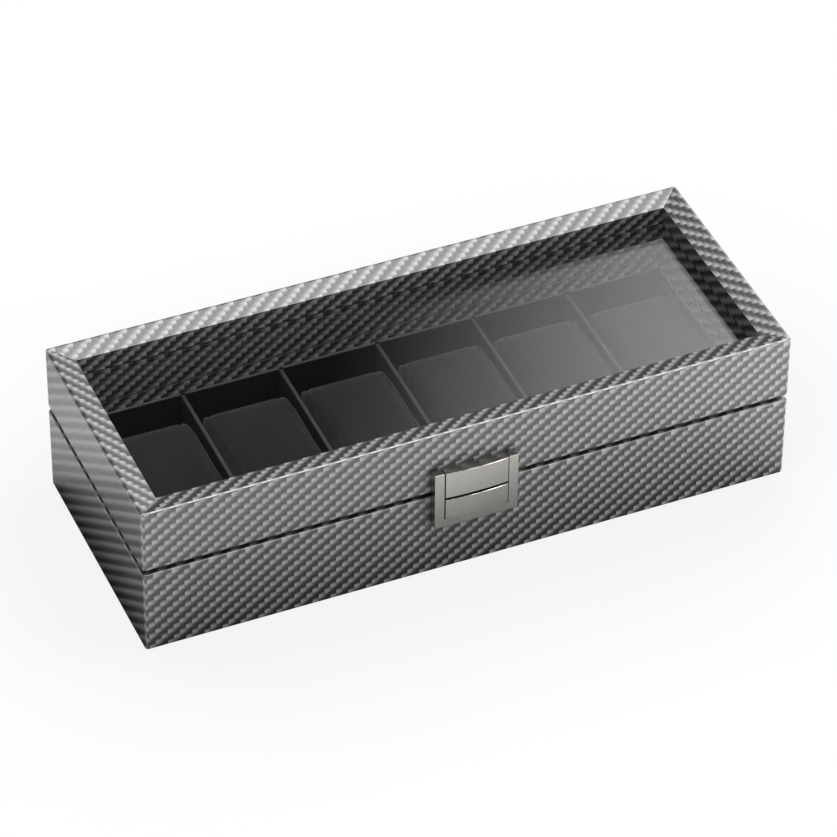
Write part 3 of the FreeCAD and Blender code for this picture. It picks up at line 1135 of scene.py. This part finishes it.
@dataclass(frozen=True)
class Panel:
    """Soft-edged light panel in the sky, by its direction as seen from the box."""

    azimuth: float
    elevation: float
    half: Tuple[float, float]
    edge: Tuple[float, float]
    strength: float
    least_ahead: float = 0.05

    def mask(self, shader: Shader, direction: Signal) -> Signal:
        """Brightness of the panel over the sky.

        Args:
            shader: the world's tree.
            direction: the direction that is looked at.

        Returns:
            The panel's strength inside it, falling to zero over its edge.
        """
        turn = math.radians(self.azimuth)
        rise = math.radians(self.elevation)
        towards = Vector((math.sin(turn) * math.cos(rise), math.cos(turn) * math.cos(rise), math.sin(rise)))
        right = towards.cross(UP).normalized()
        up = right.cross(towards)

        def part(axis: Vector) -> Signal:
            """Share of the direction along one axis."""
            sockets = {0: direction, 1: tuple(axis)}
            return shader.node("ShaderNodeVectorMath", {"operation": "DOT_PRODUCT"}, sockets)["Value"]

        ahead = part(towards)
        mask = (ahead > self.least_ahead) * self.strength
        for axis, half, edge in zip((right, up), self.half, self.edge):
            aside = abs(part(axis) / ahead.at_least(self.least_ahead))
            mask = mask * shader.fade(aside, (half - edge, half + edge), (1.0, 0.0))
        return mask


@dataclass
class Studio:
    """Pale floor, soft light and the camera."""

    azimuth: float = -23.35
    elevation: float = 40.347
    roll: float = 0.492
    camera_place: Triple = (-0.63304, -1.46652, 1.39053)
    lens: float = 206.404
    sensor: float = 36.0
    camera_reach: float = 100.0
    floor_half: float = 4.0
    floor_colour: Colour = (0.88, 0.88, 0.88)
    floor_grain: float = 40.0
    floor_grain_shade: float = 0.985
    floor_white: float = 0.90
    floor_white_in_gloss: float = 0.85
    floor_in_gloss: Colour = (1.22, 1.22, 1.22)
    # Painted shade behind the box and a painted contact shadow near it, in the floor's colour and glow.
    gloss_behind: float = 0.45
    gloss_fades: Tuple[float, float] = (0.06, 0.15)
    contact_reach: float = 0.13
    contact_samples: int = 8
    contact_least: float = 0.06
    contact_power: float = 1.7
    contact_power_in_gloss: float = 2.2
    sky_front: float = 0.07
    sky_back: float = 0.03
    sky_turn: Tuple[float, float] = (-0.35, 0.25)
    fill_place: Triple = (0.46, -0.44, 0.065)
    fill_size: Tuple[float, float] = (0.35, 0.12)
    fill_power: float = 1.55
    panels: Tuple[Panel, ...] = (
        Panel(azimuth=58.0, elevation=66.0, half=(0.60, 0.265), edge=(0.08, 0.06), strength=1.8),
        Panel(azimuth=42.0, elevation=39.1, half=(0.2225, 0.145), edge=(0.0525, 0.055), strength=2.4),
        Panel(azimuth=125.0, elevation=79.0, half=(0.44, 0.50), edge=(0.06, 0.10), strength=3.5),
        Panel(azimuth=262.0, elevation=40.0, half=(0.28, 0.22), edge=(0.08, 0.08), strength=1.0),
    )

    def camera(self) -> None:
        """Stands the camera where the photograph was taken from."""
        turn = math.radians(self.azimuth)
        rise = math.radians(self.elevation)
        tilt = math.radians(self.roll)
        back = Vector((math.sin(turn) * math.cos(rise), -math.cos(turn) * math.cos(rise), math.sin(rise)))
        right = UP.cross(back).normalized()
        up = back.cross(right)
        across = math.cos(tilt) * right + math.sin(tilt) * up
        upright = math.cos(tilt) * up - math.sin(tilt) * right
        turned = Matrix((across, upright, back)).transposed()
        data = bpy.data.cameras.new("camera")
        data.lens = self.lens
        data.sensor_width = self.sensor
        data.clip_end = self.camera_reach
        camera = bpy.data.objects.new("camera", data)
        camera.matrix_world = Matrix.Translation(self.camera_place) @ turned.to_4x4()
        bpy.context.scene.collection.objects.link(camera)
        bpy.context.scene.camera = camera

    def floor(self) -> None:
        """Lays the floor under the box, with a painted contact shadow round it."""
        half = self.floor_half
        mesh = bpy.data.meshes.new("floor")
        corners = [(-half, -half, 0.0), (half, -half, 0.0), (half, half, 0.0), (-half, half, 0.0)]
        mesh.from_pydata(corners, [], [(0, 1, 2, 3)])
        material, shader = new_shader("floor")
        grain = shader.noise(self.floor_grain, detail=2.0)
        shade = tuple(self.floor_grain_shade * c for c in self.floor_colour)
        shade = shader.mix(grain, shade, self.floor_colour)
        # Painted contact shadow: the floor's colour darkens where the box hides its sky.
        settings = {"samples": self.contact_samples}
        open_sky = shader.node("ShaderNodeAmbientOcclusion", settings, {"Distance": self.contact_reach})["AO"]
        clear = (open_sky * 2 - 1).at_least(self.contact_least)
        shade = shader.mix(clear ** self.contact_power, BLACK, shade)
        matt = shader.node("ShaderNodeBsdfDiffuse", None, {"Color": shade})["BSDF"]
        path = shader.node("ShaderNodeLightPath")
        looked_at = path["Is Camera Ray"].at_least(path["Is Transmission Ray"])
        # In reflections the floor glows brighter than white, with a steeper painted contact shadow near the
        # box and painted shade behind it.
        faded = shader.fade(shader.point()["Y"], self.gloss_fades, (1.0, self.gloss_behind))
        mirrored = shader.mix(faded * clear ** self.contact_power_in_gloss, BLACK, self.floor_in_gloss)
        glow = shader.mix(looked_at, mirrored, WHITE)
        white = shader.node("ShaderNodeEmission", None, {"Color": glow})["Emission"]
        share = (looked_at * self.floor_white).at_least(path["Is Glossy Ray"] * self.floor_white_in_gloss)
        shader.finish(shader.node("ShaderNodeMixShader", None, {0: share, 1: matt, 2: white})["Shader"])
        mesh.materials.append(material)
        add_object("floor", mesh)

    def fill(self) -> None:
        """Hangs a soft lamp at the front right, turned to the box."""
        data = bpy.data.lights.new("fill", "AREA")
        data.shape = "RECTANGLE"
        data.size, data.size_y = self.fill_size
        data.energy = self.fill_power
        lamp = bpy.data.objects.new("fill", data)
        turn = Vector(self.fill_place).to_track_quat("Z", "Y").to_matrix().to_4x4()
        lamp.matrix_world = Matrix.Translation(self.fill_place) @ turn
        lamp.visible_camera = False
        bpy.context.scene.collection.objects.link(lamp)

    def sky(self) -> None:
        """Lights the box from a sky that is darker at the back, with soft panels, and looks white itself."""
        world = bpy.data.worlds.new("studio")
        bpy.context.scene.world = world
        shader = Shader(world)
        direction = shader.node("ShaderNodeTexCoord")["Generated"]
        depth = shader.node("ShaderNodeSeparateXYZ", None, {"Vector": direction})["Y"]
        strength = shader.fade(depth, self.sky_turn, (self.sky_front, self.sky_back))
        for panel in self.panels:
            strength = strength + panel.mask(shader, direction)
        white = (*WHITE, 1.0)
        sockets = {"Color": white, "Strength": strength}
        light = shader.node("ShaderNodeBackground", None, sockets)["Background"]
        plain = shader.node("ShaderNodeBackground", None, {"Color": white, "Strength": 1.0})["Background"]
        seen = shader.node("ShaderNodeLightPath")["Is Camera Ray"]
        shown = shader.node("ShaderNodeMixShader", None, {0: seen, 1: light, 2: plain})["Shader"]
        shader.finish(shown, "ShaderNodeOutputWorld")

    def build(self) -> None:
        """Builds the studio."""
        bpy.context.scene.view_settings.view_transform = "Standard"
        self.camera()
        self.floor()
        self.fill()
        self.sky()


def main() -> None:
    """Builds every part of the picture in order."""
    logging.basicConfig(level=logging.INFO, format="%(name)s: %(message)s")
    finishes = Finishes()
    finishes.prepare()
    Shell(finishes).dress()
    latch = Latch(finishes)
    latch.dress()
    latch.build()
    hinges = Hinges(finishes)
    hinges.dress()
    hinges.build()
    Cushions(finishes).build()
    Studio().build()


if __name__ == "__main__":
    main()
